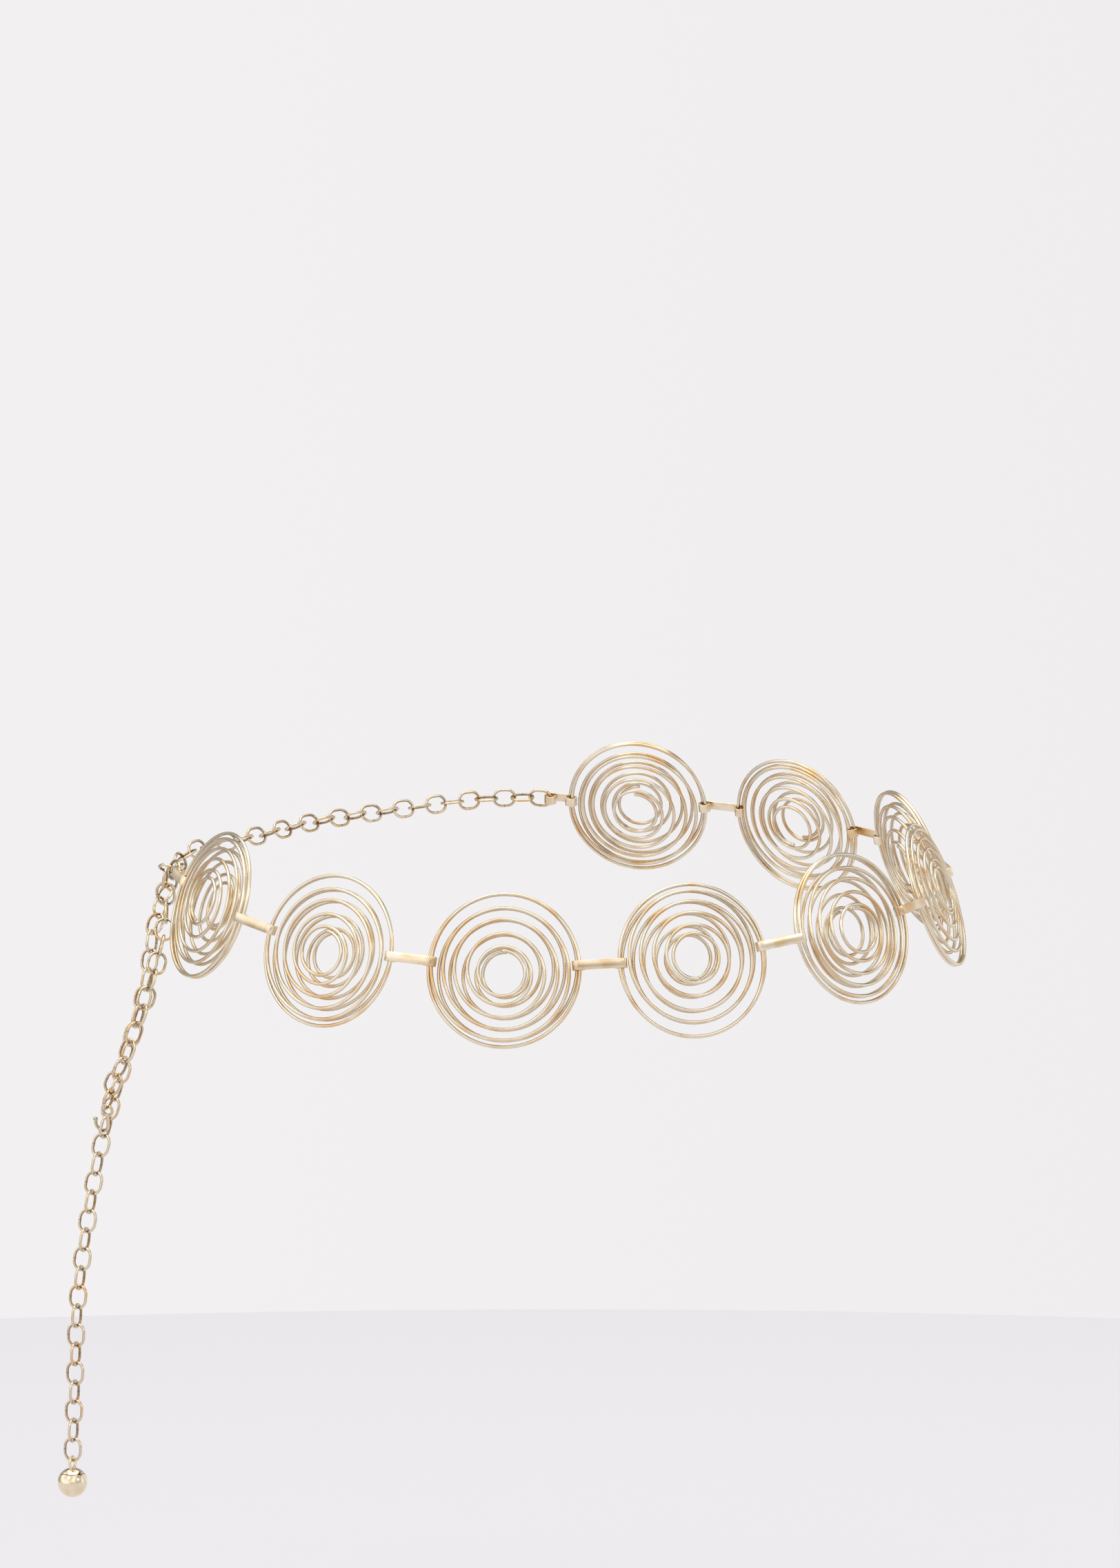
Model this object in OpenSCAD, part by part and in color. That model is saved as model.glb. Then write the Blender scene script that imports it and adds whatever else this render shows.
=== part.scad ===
// Waist chain: a row of wound wire discs on strip links, closed by a hook on an oval-link chain.
// The origin is the middle of the loop. +Z is up, -Y is the front, +X is the right as seen from the front.

/* [Loop] */
// Half-width of the loop through the disc centres
loop_half_width = 126.5; // [105:0.5:160]
// Half-depth of the loop through the disc centres
loop_half_depth = 108; // [90:0.5:140]
// How far the front of the loop tips down, in degrees
loop_tilt = 12; // [0:1:20]
// Outward lean of a disc's foot at the sides of the loop, in degrees
side_lean = 19; // [0:1:22]
// Outward lean of a disc's foot at the front, in degrees
front_lean = 7; // [0:1:12]
// Outward lean of a disc's foot at the back, in degrees
back_lean = 24; // [12:1:30]
// Distance along the loop from one disc to the next
disc_pitch = 60.8; // [58:0.1:66]
// Shift of the whole row along the front, to the right
row_shift = 11.5; // [0:0.5:20]

/* [Wire disc] */
// Outside diameter of a disc
disc_d = 50; // [46:0.5:52]
// Diameter of the wire that a disc is wound from
disc_wire_d = 1.15; // [0.9:0.05:1.2]
// Height of the innermost turn over the disc's middle plane
dome_h = 3.3; // [2.4:0.1:5]

/* [Strip link] */
// Height of a strip
strip_h = 3.1; // [2.4:0.1:3.2]
// Thickness of the strip's metal
strip_t = 0.45; // [0.35:0.05:0.5]
// Clearance between a curl and the wires it holds
strip_gap = 0.27; // [0.2:0.01:0.3]
// How far a strip can swing on its disc with the curls still clear, in degrees
strip_swing = 8; // [5:1:10]
// Sweep of a curl round its wires, in degrees
curl_sweep = 290; // [240:5:310]
// Length between the curls of the two end strips
end_strip_l = 7.5; // [6:0.5:12]

/* [Chain] */
// Distance from one chain link to the next
chain_pitch = 6.4; // [6:0.1:8]
// Width of a chain link
chain_link_w = 6.8; // [5.8:0.1:7]
// Diameter of the chain's wire
chain_wire_d = 0.95; // [0.9:0.05:1.2]
// Clearance between two linked wires
chain_gap = 0.24; // [0.2:0.01:0.3]
// Turn of the hanging links about their own line, in degrees
chain_roll = 25; // [0:5:45]
// Length of the chain's free end, from the hook down to the ball
free_end_l = 102; // [80:1:125]

/* [Hook and ball] */
// Radius of the hook's bend, at the middle of its wire
hook_bend_r = 2.5; // [2.4:0.1:2.8]
// Diameter of the hook's wire
hook_wire_d = 1.15; // [0.9:0.05:1.2]
// Length of the hook's long leg
hook_leg = 4; // [3:0.5:8]
// Radius of the eye, at the middle of its wire
hook_eye_r = 1.9; // [1.7:0.1:2.5]
// Diameter of the end ball
ball_d = 10; // [8:0.5:12]
// Radius of the ball's loop, at the middle of its wire
ball_loop_r = 2; // [1.8:0.1:2.5]
// Diameter of the wire of the ball's loop
ball_loop_wire_d = 1; // [0.8:0.05:1.1]

/* [Hidden] */
$fn = 48;

// Each disc's sag below or above the loop in millimetres, and 1 where its wire starts at the top
sag = 0;
start_side = 1;
disc_rows = [[2.5, -1], [-1, 1], [-2, 1], [0, -1], [2.5, 1], [0.5, -1], [-2.5, 1], [-2, -1], [-1, 1]];

// Turns of the winding, one row for each half turn from the rim inwards:
// radius as a share of the rim's, and height as a share of the dome's
turn_r = 0;
turn_h = 1;
turns = [[1, 0.19], [0.915, 0.25], [0.815, 0.36], [0.774, 0.46], [0.664, 0.57], [0.623, 0.68],
    [0.475, 0.79], [0.459, 0.9], [0.304, 1], [0.344, 1], [0.25, 1]];

// The long chain turns back to the loop by this far along its strip and this far inward
back_lead = [25, 5.5];
// It then keeps to the loop as far as this angle, where it turns down
long_leave = 238;
back_points = 3;
// Points from there to the ball: outside the loop's side, behind the short chain's start, and Z
side_route = [[0.5, 56.5, 8], [6.5, 36.5, -1], [11.5, 23.5, -16], [14.1, 19.5, -36], [21, 17.5, -61],
    [28.2, 15.5, -86], [32.5, 12.5, -109], [36.5, 10.5, -140], [37.5, 10.5, -165], [38.5, 10.5, -195]];
// Points by which the short chain turns down, from where it starts
short_corner = [[-4.6, 11.2, 0.5], [-5.3, 15, -5], [-4.7, 15.8, -11.4], [-5, 13.8, -17.7],
    [-6.1, 10.5, -24.7]];
// How far the short chain bows at the middle of its way from there to the hook
short_bow = [1.6, -6, 0];
bow_points = 3;
// Angle at which the hook rises from its link, in degrees
hook_rise = 57;
// How far the hook sits below the top joint of its link
hook_seat = 2.6;
// Angle in the hook's eye between the hook's line and the short chain's last link
eye_lean = 12;

gold = "#e6cfa0";
gold_shade = "#d9bd88";

// The loop: an ellipse tipped about X, measured along its length from the front middle
loop_steps = 360;
function loop_point(a) = [loop_half_width * sin(a), -loop_half_depth * cos(a),
    -loop_half_depth * cos(a) * tan(loop_tilt)];
loop_table = [for (a = 0, s = 0; a <= loop_steps;
    s = s + norm(loop_point(a + 1) - loop_point(a)), a = a + 1) [s, a]];
loop_length = loop_table[loop_steps][0];
function loop_angle(s) = lookup((s % loop_length + loop_length) % loop_length, loop_table);
function unit(v) = v / norm(v);

// Discs: centre, outward normal, and the direction in the disc towards a neighbour
disc_last = len(disc_rows) - 1;
row_middle_index = 2.5;
function disc_row(i) = disc_rows[max(0, min(disc_last, i))];
function disc_angle(i) = loop_angle(row_shift + disc_pitch * (i - row_middle_index));
function disc_centre(i) = loop_point(disc_angle(i)) + [0, 0, disc_row(i)[sag]];
function disc_lean(out) = side_lean * out.x * out.x
    + (out.y < 0 ? front_lean : back_lean) * (1 - out.x * out.x);
function disc_normal(i) = let(a = disc_angle(i), along = unit(loop_point(a + 1) - loop_point(a - 1)),
    out = unit(cross(along, [0, 0, 1])))
    cos(disc_lean(out)) * out + sin(disc_lean(out)) * cross(out, along);
function flat(v, n) = unit(v - (v * n) * n);
function toward(i, side) = flat(disc_centre(i + side) - disc_centre(i), disc_normal(i));
function disc_right(i) = unit(toward(i, 1) - toward(i, -1));
function disc_start(i) = disc_row(i)[start_side] * cross(disc_normal(i), disc_right(i));

// Winding sizes
rim_r = (disc_d - disc_wire_d) / 2;
rim_h = turns[0][turn_h] * dome_h;
function wire_r(k) = turns[k][turn_r] * rim_r;
function wire_h(k) = turns[k][turn_h] * dome_h;

// Half turn k ends at joint k and starts at the one before, the first at the rim's start. Its radius is
// taken to the next reach_step, and its tilt to a cosine of six digits, so that the ends of two meet exactly
reach_step = 0.005;
cosine_step = 0.000001;
function to_step(v, step) = round(v / step) * step;
function half_rise(k) = k == 0 ? wire_h(0) : wire_h(k) - wire_h(k - 1);
function half_span(k) = wire_r(max(k - 1, 0)) + wire_r(k);
function half_reach(k) = to_step(norm([half_span(k), half_rise(k)]) / 2, reach_step);
function half_tip(k) = half_rise(k) == 0 ? 0
    : acos(to_step(cos(atan2(half_rise(k), half_span(k))), cosine_step));

// A curl holds the rim and the turn beside it, and is centred between the two
near_h = (wire_h(0) + wire_h(1)) / 2;
function near_r(swing) = (wire_r(0) + wire_r(1) + (wire_r(0) - wire_r(1)) * sin(swing)) / 2;
curl_r = norm([rim_r - near_r(-strip_swing), near_h + rim_h / 2]) / 2 + disc_wire_d / 2 + strip_gap;
function curl_centre(i, side) = let(swing = asin(toward(i, side) * disc_start(i)))
    disc_centre(i) + (rim_r + near_r(swing)) / 2 * toward(i, side)
    - side * disc_row(i)[start_side] * (near_h - rim_h / 2) / 2 * disc_normal(i);

// Chain sizes: joints lie a pitch apart, and each bar reaches past its joint
bar_reach = (chain_wire_d + chain_gap) / 2;
function along_route(a, b, c, d, t) = 0.5 * (2 * b + (c - a) * t + (2 * a - 5 * b + 4 * c - d) * t * t
    + (3 * b - a - 3 * c + d) * t * t * t);
route_steps = 10;
function smooth(p) = [for (i = [0:len(p) - 2]) for (k = [0:route_steps - 1])
    along_route(p[max(i - 1, 0)], p[i], p[i + 1], p[min(i + 2, len(p) - 1)], k / route_steps),
    p[len(p) - 1]];
function lengths(q) = [for (i = 0, s = 0; i < len(q);
    s = s + norm(q[min(i + 1, len(q) - 1)] - q[i]), i = i + 1) s];
function spaced(p) = let(q = smooth(p), s = lengths(q), total = s[len(s) - 1],
    n = round(total / chain_pitch)) [for (i = [0:n]) [for (axis = [0:2])
    lookup(total * i / n, [for (j = [0:len(q) - 1]) [s[j], q[j][axis]]])]];
// The first link lies straight on from what it hangs on, and the rest follow the route
function joints(start, dir, route) = concat([start], spaced(concat([start + chain_pitch * dir], route)));
// Links are made for the widest step between joints, taken up to the next round_step
round_step = 0.02;
function made_pitch(p) = round_step
    * ceil(max([for (i = [1:len(p) - 1]) norm(p[i] - p[i - 1])]) / round_step);
function link_line(p, i) = unit(p[i + 1] - p[i]);
function outward(p, i) = flat([p[i].x + p[i + 1].x, p[i].y + p[i + 1].y, 0], link_line(p, i));
function link_base(p, i) = i % 2 == 0 ? cross(link_line(p, i), outward(p, i)) : outward(p, i);
function link_width(p, i, roll) = cos(roll) * link_base(p, i)
    + sin(roll) * cross(link_line(p, i), link_base(p, i));
function roll_to(p, i, target) = let(b = link_base(p, i), l = link_line(p, i),
    a = atan2(cross(b, target) * l, b * target)) a > 90 ? a - 180 : a < -90 ? a + 180 : a;

// Each end strip points on along its disc, and the chain starts inside its free curl
long_dir = toward(disc_last, 1);
short_dir = toward(0, -1);
function strip_end(centre, dir) = centre + end_strip_l * dir;
curl_inset = 0.2;
chain_start = bar_reach - curl_inset;
long_start = strip_end(curl_centre(disc_last, 1), long_dir) + chain_start * long_dir;
short_start = strip_end(curl_centre(0, -1), short_dir) + chain_start * short_dir;

// The first link passes over and under its strip, and the links after it turn by and by
function share(from, to, part) = from + (to - from) * min(1, part);

// The long chain, and the link that takes the hook: an even one, as those have their width to the front
roll_links = 10;
back_from = disc_angle(disc_last + 1);
long_route = concat([long_start + back_lead.x * long_dir - back_lead.y * disc_normal(disc_last)],
    [for (k = [1:back_points]) loop_point(back_from + (long_leave - back_from) * k / back_points)],
    [for (p = side_route) [-loop_half_width - p.x, short_start.y + p.y, p.z]]);
long_joints = joints(long_start, long_dir, long_route);
long_first = roll_to(long_joints, 0, cross(long_dir, disc_normal(disc_last)));
function long_roll(i) = share(long_first, chain_roll, i / roll_links);
long_last = len(long_joints) - 2;
hook_link = 2 * floor((long_last - free_end_l / chain_pitch) / 2);
hook_line = link_line(long_joints, hook_link);
hook_side = link_width(long_joints, hook_link, long_roll(hook_link));
hook_front = hook_side.y < 0 ? hook_side : -hook_side;
hook_across = cross(hook_front, hook_line);
hook_right = hook_across.x < 0 ? -hook_across : hook_across;
hook_dir = cos(hook_rise) * hook_front - sin(hook_rise) * hook_line;
hook_bar = (chain_link_w - chain_wire_d) / 2;
hook_origin = long_joints[hook_link] + hook_seat * hook_line + hook_bar * hook_front;

// The short chain turns down and bows out to the hook, and its last link stands in the hook's eye
eye_x = hook_leg + hook_eye_r;
short_end = hook_origin + hook_bend_r * hook_right + (eye_x + hook_eye_r - bar_reach) * hook_dir;
short_held = short_end + chain_pitch * (cos(eye_lean) * hook_dir + sin(eye_lean) * hook_right);
corner_end = short_start + short_corner[len(short_corner) - 1];
function bowed(t) = corner_end + t * (short_held - corner_end) + 4 * t * (1 - t) * short_bow;
short_route = concat([for (p = short_corner) short_start + p],
    [for (k = [1:bow_points]) bowed(k / (bow_points + 1))]);
short_joints = concat(joints(short_start, short_dir, concat(short_route, [short_held])), [short_end]);
short_last = len(short_joints) - 2;
short_first = roll_to(short_joints, 0, cross(short_dir, disc_normal(0)));
short_turn = roll_to(short_joints, short_last, cross(hook_dir, hook_right));
function short_roll(i) = share(short_first, short_turn, i / short_last);

// The ball hangs from the long chain's last joint
ball_loop_centre = long_joints[long_last + 1] + (ball_loop_r - bar_reach) * [0, 0, -1];
ball_loop_sunk = 0.5;
ball_loop_h = ball_d / 2 + ball_loop_r - ball_loop_sunk;

module place(o, x, y, z) {
    multmatrix([[x.x, y.x, z.x, o.x], [x.y, y.y, z.y, o.y], [x.z, y.z, z.z, o.z], [0, 0, 0, 1]])
        children();
}

// Half turns of wire from joint k on inwards, each in the frame in which the one before it ends.
// The wire's middle is at the origin and runs along +Y, with the disc's middle towards -X
module wind(k) {
    if (k < len(turns)) {
        reach = half_reach(k);
        tip = half_tip(k);
        rotate([0, tip, 0]) {
            translate([-reach, 0, 0])
                rotate_extrude(angle = 180)
                    translate([reach, 0])
                        circle(d = disc_wire_d);
            translate([-2 * reach, 0, 0]) rotate([0, -tip, 0]) rotate([0, 0, 180]) wind(k + 1);
        }
    }
}

// Half the rim and one dome: the other half of the disc is the same, turned over
module wound_side() {
    translate([-rim_r, 0, 0]) rotate([0, 0, 180]) wind(0);
}

module disc(i) {
    color(gold)
        place(disc_centre(i), disc_start(i), cross(disc_normal(i), disc_start(i)), disc_normal(i)) {
            wound_side();
            rotate([180, 0, 0]) wound_side();
        }
}

// A curl of the strip about the origin, from the strip's outer face at -Y on round by -X
module curl() {
    rotate([0, 0, 270 - curl_sweep])
        rotate_extrude(angle = curl_sweep)
            translate([curl_r, -strip_h / 2])
                square([strip_t, strip_h]);
}

// A strip from curl centre a to curl centre b, with its flat on the side that faces out
module strip(a, b, out) {
    line = unit(b - a);
    inward = -flat(out, line);
    span = norm(b - a);
    color(gold_shade)
        place(a, line, inward, cross(line, inward)) {
            curl();
            translate([0, -curl_r - strip_t, -strip_h / 2]) cube([span, strip_t, strip_h]);
            translate([span, 0, 0]) mirror([1, 0, 0]) curl();
        }
}

module strip_link(i) {
    strip(curl_centre(i, 1), curl_centre(i + 1, -1), disc_normal(i) + disc_normal(i + 1));
}

module chain_link(pitch) {
    l = pitch + 2 * bar_reach + chain_wire_d;
    straight = l - chain_link_w;
    side_r = (chain_link_w - chain_wire_d) / 2;
    for (turn = [0, 180])
        rotate([0, 0, turn]) {
            translate([straight / 2, 0, 0])
                rotate([0, 0, -90])
                    rotate_extrude(angle = 180)
                        translate([side_r, 0])
                            circle(d = chain_wire_d);
            translate([-straight / 2, side_r, 0])
                rotate([0, 90, 0])
                    cylinder(d = chain_wire_d, h = straight);
        }
}

module chain_link_at(p, i, roll) {
    line = link_line(p, i);
    side = link_width(p, i, roll);
    place((p[i] + p[i + 1]) / 2, line, side, cross(line, side)) chain_link(made_pitch(p));
}

module long_chain() {
    color(gold)
        for (i = [0:long_last]) chain_link_at(long_joints, i, long_roll(i));
}

module short_chain() {
    color(gold)
        for (i = [0:short_last]) chain_link_at(short_joints, i, short_roll(i));
}

module hook() {
    tip_d = hook_wire_d * 1.4;
    eye_wire_d = hook_wire_d * 0.87;
    short_leg = 1.2;
    color(gold)
        place(hook_origin, hook_dir, hook_right, cross(hook_dir, hook_right)) {
            rotate([0, 0, 90])
                rotate_extrude(angle = 180)
                    translate([hook_bend_r, 0])
                        circle(d = hook_wire_d);
            translate([0, hook_bend_r, 0]) rotate([0, 90, 0]) cylinder(d = hook_wire_d, h = hook_leg);
            translate([0, -hook_bend_r, 0]) rotate([0, 90, 0]) cylinder(d = hook_wire_d, h = short_leg);
            translate([short_leg, -hook_bend_r, 0]) sphere(d = tip_d);
            translate([eye_x, hook_bend_r, 0])
                rotate_extrude()
                    translate([hook_eye_r, 0])
                        circle(d = eye_wire_d);
        }
}

module ball() {
    hole = link_width(long_joints, long_last, long_roll(long_last));
    level = unit([hole.x, hole.y, 0]);
    color(gold)
        place(ball_loop_centre, cross([0, 0, 1], level), [0, 0, 1], level) {
            rotate_extrude() translate([ball_loop_r, 0]) circle(d = ball_loop_wire_d);
            translate([0, -ball_loop_h, 0]) sphere(d = ball_d);
        }
}

disc(0);  // disc_1
disc(1);  // disc_2
disc(2);  // disc_3
disc(3);  // disc_4
disc(4);  // disc_5
disc(5);  // disc_6
disc(6);  // disc_7
disc(7);  // disc_8
disc(8);  // disc_9
strip_link(0);  // strip_1
strip_link(1);  // strip_2
strip_link(2);  // strip_3
strip_link(3);  // strip_4
strip_link(4);  // strip_5
strip_link(5);  // strip_6
strip_link(6);  // strip_7
strip_link(7);  // strip_8
strip(curl_centre(0, -1), strip_end(curl_centre(0, -1), short_dir), disc_normal(0));  // end_strip_short
strip(curl_centre(disc_last, 1), strip_end(curl_centre(disc_last, 1), long_dir), disc_normal(disc_last));  // end_strip_long
short_chain();
long_chain();
hook();
ball();
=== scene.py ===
"""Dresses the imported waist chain: wound wire discs, strip links, oval-link chains, hook and end ball, with a
plain stage.

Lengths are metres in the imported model's frame: +Z up, -Y the front, +X the right as seen from the front.
Each piece follows the same loop, winding and chain routes as the solids, so it lies where its node lies.
"""

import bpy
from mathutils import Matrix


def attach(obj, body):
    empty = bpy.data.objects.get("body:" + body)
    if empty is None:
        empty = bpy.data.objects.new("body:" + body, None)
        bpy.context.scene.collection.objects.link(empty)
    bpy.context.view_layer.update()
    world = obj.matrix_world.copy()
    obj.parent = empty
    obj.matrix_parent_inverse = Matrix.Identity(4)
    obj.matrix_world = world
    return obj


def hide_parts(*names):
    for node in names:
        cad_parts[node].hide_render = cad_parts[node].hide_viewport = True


bl_info = {
    "name": "Waist chain of wound wire discs",
    "version": (1, 0, 0),
    "blender": (4, 5, 0),
    "location": "View3D > Sidebar > Waist chain",
    "description": "Builds the discs, strips, chains, hook and ball of a worn waist chain, and its stage",
    "category": "Add Mesh",
}

import math

import bpy
import numpy as np
from bpy.props import FloatProperty, FloatVectorProperty, PointerProperty
from mathutils import Vector

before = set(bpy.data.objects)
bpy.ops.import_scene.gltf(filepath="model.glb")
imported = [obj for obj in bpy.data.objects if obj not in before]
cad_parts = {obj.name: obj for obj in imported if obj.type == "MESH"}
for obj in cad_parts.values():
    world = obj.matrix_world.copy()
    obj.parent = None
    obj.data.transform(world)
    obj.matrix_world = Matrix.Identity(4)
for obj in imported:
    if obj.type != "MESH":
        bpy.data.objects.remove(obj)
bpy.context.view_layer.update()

MM = 0.001
UP = np.array([0.0, 0.0, 1.0])

# How far each disc lies above its place on the loop, or below it where negative, and 1 where its wire
# starts at the top, -1 at the bottom. ROW_MIDDLE is the disc, counted from 0, in the middle of the front.
DISC_SAG = np.array([2.5, -1, -2, 0, 2.5, 0.5, -2.5, -2, -1]) * MM
START_SIDE = np.array([-1, 1, 1, -1, 1, -1, 1, -1, 1])
ROW_MIDDLE = 2.5

# Joints of the winding, one for each half turn from the rim inwards: share of the rim's radius, and
# share of the dome's height
TURNS = np.array([[1, 0.19], [0.915, 0.25], [0.815, 0.36], [0.774, 0.46], [0.664, 0.57], [0.623, 0.68],
                  [0.475, 0.79], [0.459, 0.9], [0.304, 1], [0.344, 1], [0.25, 1]])

# The long chain turns back to the loop by this far along its strip and inward, keeps to the loop up to
# LONG_LEAVE degrees, and then passes points given by their distance outside the loop's side, behind the
# short chain's start, and by their height
BACK_LEAD = np.array([25, 5.5]) * MM
LONG_LEAVE = 238
BACK_POINTS = 3
SIDE_ROUTE = np.array([[0.5, 56.5, 8], [6.5, 36.5, -1], [11.5, 23.5, -16], [14.1, 19.5, -36],
                       [21, 17.5, -61], [28.2, 15.5, -86], [32.5, 12.5, -109], [36.5, 10.5, -140],
                       [37.5, 10.5, -165], [38.5, 10.5, -195]]) * MM

# Points by which the short chain turns down from where it starts, and how far it bows on its way on
SHORT_CORNER = np.array([[-4.6, 11.2, 0.5], [-5.3, 15, -5], [-4.7, 15.8, -11.4], [-5, 13.8, -17.7],
                         [-6.1, 10.5, -24.7]]) * MM
SHORT_BOW = np.array([1.6, -6, 0]) * MM
BOW_POINTS = 3

# How far the first link reaches into an end strip's curl, how many steps the smooth route has between two
# points, and over how many links the long chain rolls from its first turn to that of its hanging end
CURL_INSET = 0.2 * MM
ROUTE_STEPS = 10
ROLL_LINKS = 10

# Small forms of the metal: rounding of a strip's edges, radius of the hook's bead and of its eye's wire as
# shares of the hook's wire, how far the middle of the ball's loop is sunk in the ball at its lowest point,
# and angles of the rings that round off a wire's open end
STRIP_EDGE_R = 0.16 * MM
BEAD_SHARE = 0.7
EYE_WIRE_SHARE = 0.435
LOOP_SINK = 0.5 * MM
END_RINGS = np.radians([78, 52, 26])

# Half the width of a link's seam and of the ball's groove, and how far along the ball the groove lies, as a
# share of its diameter
SEAM_HALF = 0.12 * MM
GROOVE_HALF = 0.14 * MM
GROOVE_AT = 0.8

# Fine lines that drawing, rolling or turning leaves: how many there are in a metre along the piece, and how
# many round it. They lie about 0.08 mm apart, and are drawn about 0.2 mm apart so that they show.
WIRE_GRAIN, STRIP_GRAIN, CHAIN_GRAIN, BALL_GRAIN = (60, 18), (60, 35), (60, 15), (5000, 3)

# Patches of thicker plating, about 9 mm wide: how many there are in a metre
PATCHES_IN_METRE = 110.0

# Which part of a noise's range counts, for the patches and for the lines
PATCH_RANGE = (0.46, 0.7)
LINE_RANGE = (0.3, 0.7)

# Roughness between the lines and on them, as shares of the stated one, and strength and depth of the lines
ROUGHNESS_SHARES = (0.75, 1.35)
RELIEF_STRENGTH, RELIEF_DEPTH = 0.12, 0.02 * MM

# How far round from its outer side, as a share of the whole way round, the painted shade on a wire begins,
# darkening it inwards, and where it is darkest
INNER_SHADE_RANGE = (0.2, 0.42)

# The room that the metal mirrors: its main pale wall, and the others beside it. Each has towards where,
# and from which share of that way to which it brightens, and the others how bright they are
ROOM_DARK, ROOM_BRIGHT = (0.03, 0.026, 0.022), (0.92, 0.9, 0.87)
MAIN_LOBE = ((-0.52, -0.5, 0.69), 0.3, 0.75)
LOBE_TINT = (1, 0.985, 0.96)
ROOM_LOBES = (((0.75, -0.6, 0.28), 0.55, 0.85, 0.6), ((0.88, 0.47, 0.05), 0.7, 0.92, 0.75),
              ((-0.75, -0.65, -0.1), 0.75, 0.95, 0.35), ((-0.9, 0.35, 0.25), 0.7, 0.95, 0.45),
              ((0.1, 0.98, 0.2), 0.6, 0.95, 0.4), ((0.14, -0.98, 0.14), 0.85, 0.99, 0.25))

# The same for the wall behind, which goes from its left tone to its right one
BACKDROP_LOBE = ((1, 0, 0), -0.2, 0.2)

# Name, place, side, radiance and tint of each softbox
SOFTBOXES = (("softbox_left", (-0.9, -1.1, 0.9), 0.55, 2.1, (0.96, 0.975, 1)),
             ("softbox_right", (1.0, -0.9, 0.5), 0.4, 2.6, (1, 0.98, 0.95)),
             ("softbox_above", (0, 0.3, 2.6), 3.2, 1.5, (1, 1, 1)))

# Corners of the floor's outline from the top's edge to the underside: radius and height
FLOOR_EDGE = ((1.0, -0.26), (1.004, -0.2615), (1.004, -0.28))

# The camera: height of its picture and focal length in the same pixels, how far away it stands, how many
# degrees it looks down, and how far to the right and up the middle of its picture lies
PICTURE_HEIGHT, FOCAL_LENGTH = 2274, 8620
SENSOR = 36
CAMERA_AWAY, CAMERA_TILT = 2.0, 1.5
CAMERA_RIGHT, CAMERA_UP = -0.001, 0.032


def srgb(code):
    """An sRGB hex value as linear red, green and blue: each share c is c / 12.92 where it is small, and
    otherwise ((c + 0.055) / 1.055) to the power 2.4."""
    shares = [int(code[i:i + 2], 16) / 255 for i in (1, 3, 5)]
    return tuple(c / 12.92 if c <= 0.04045 else ((c + 0.055) / 1.055) ** 2.4 for c in shares)


# Dark brown for the painted shade on the inner side of a turn or link, and for the thin dark seams of the
# links and the ball
SHADE_AND_SEAM_TONE = srgb("#6b5334")


def length(name, default_mm, description):
    """A length property in metres whose default is given in millimetres."""
    return FloatProperty(name=name, description=description, default=default_mm * MM, unit="LENGTH",
                         subtype="DISTANCE", precision=5)


def tilt(name, default_degrees, description):
    """An angle property whose default is given in degrees."""
    return FloatProperty(name=name, description=description, default=math.radians(default_degrees),
                         unit="ROTATION", subtype="ANGLE")


def colour(name, code, description):
    """A colour property whose default is given as an sRGB hex value."""
    return FloatVectorProperty(name=name, description=description, default=srgb(code), size=3, min=0, max=1,
                               subtype="COLOR")


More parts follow.
